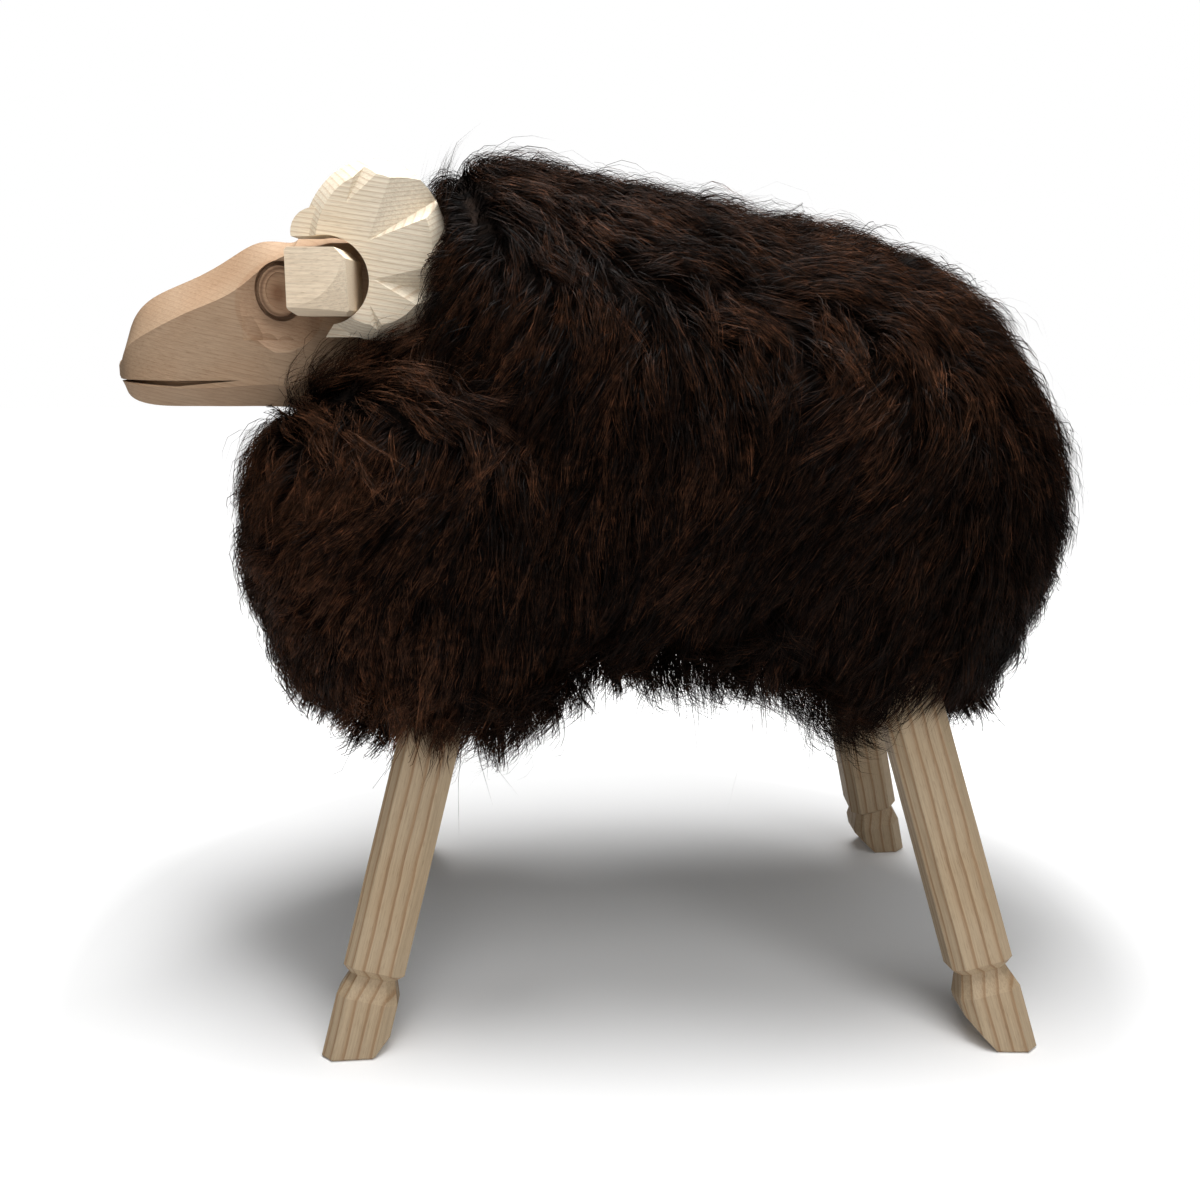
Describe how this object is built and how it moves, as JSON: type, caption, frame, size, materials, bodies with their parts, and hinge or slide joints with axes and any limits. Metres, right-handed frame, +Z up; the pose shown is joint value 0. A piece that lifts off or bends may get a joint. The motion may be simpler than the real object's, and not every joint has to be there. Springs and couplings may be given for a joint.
{
  "type": "sheep stool",
  "caption": "Low stool shaped as a sheep: carved wooden head, coiled horns, square ears and splayed hoofed legs on a padded body in dark sheepskin.",
  "frame": {"origin": "middle of the bounding box at floor level, under the body", "axes": "+Z up, -X towards the nose, -Y towards the sheep's left flank"},
  "size_m": [0.585, 0.331, 0.5139],
  "materials": {
    "head_wood": "raw carved fine-grained wood",
    "horn_wood": "raw carved pine",
    "ear_wood": "raw carved fine-grained wood",
    "leg_wood": "raw planed softwood with growth rings",
    "core_wood": "rough sawn softwood",
    "dowel_wood": "smooth beech",
    "wool": "long combed wool, near black with brown tips",
    "foam": "open cell foam",
    "cloth": "plain woven cotton",
    "steel": "bright zinc plated"
  },
  "bodies": {
    "root": {"belly_cloth": "cloth", "cloth_tacks": "steel", "ear_left": "ear_wood", "ear_right": "ear_wood", "fleece": "wool", "front_block": "core_wood", "head": "head_wood", "horn_dowels": "dowel_wood", "horn_left": "horn_wood", "horn_right": "horn_wood", "leg_front_left": "leg_wood", "leg_front_right": "leg_wood", "leg_rear_left": "leg_wood", "leg_rear_right": "leg_wood", "leg_wedges": "dowel_wood", "neck_dowels": "dowel_wood", "neck_post": "core_wood", "padding": "foam", "post_dowels": "dowel_wood", "rail_dowels": "dowel_wood", "rear_block": "core_wood", "seat_board": "core_wood", "seat_screws": "steel", "side_rail_left": "core_wood", "side_rail_right": "core_wood"}
  },
  "joints": []
}
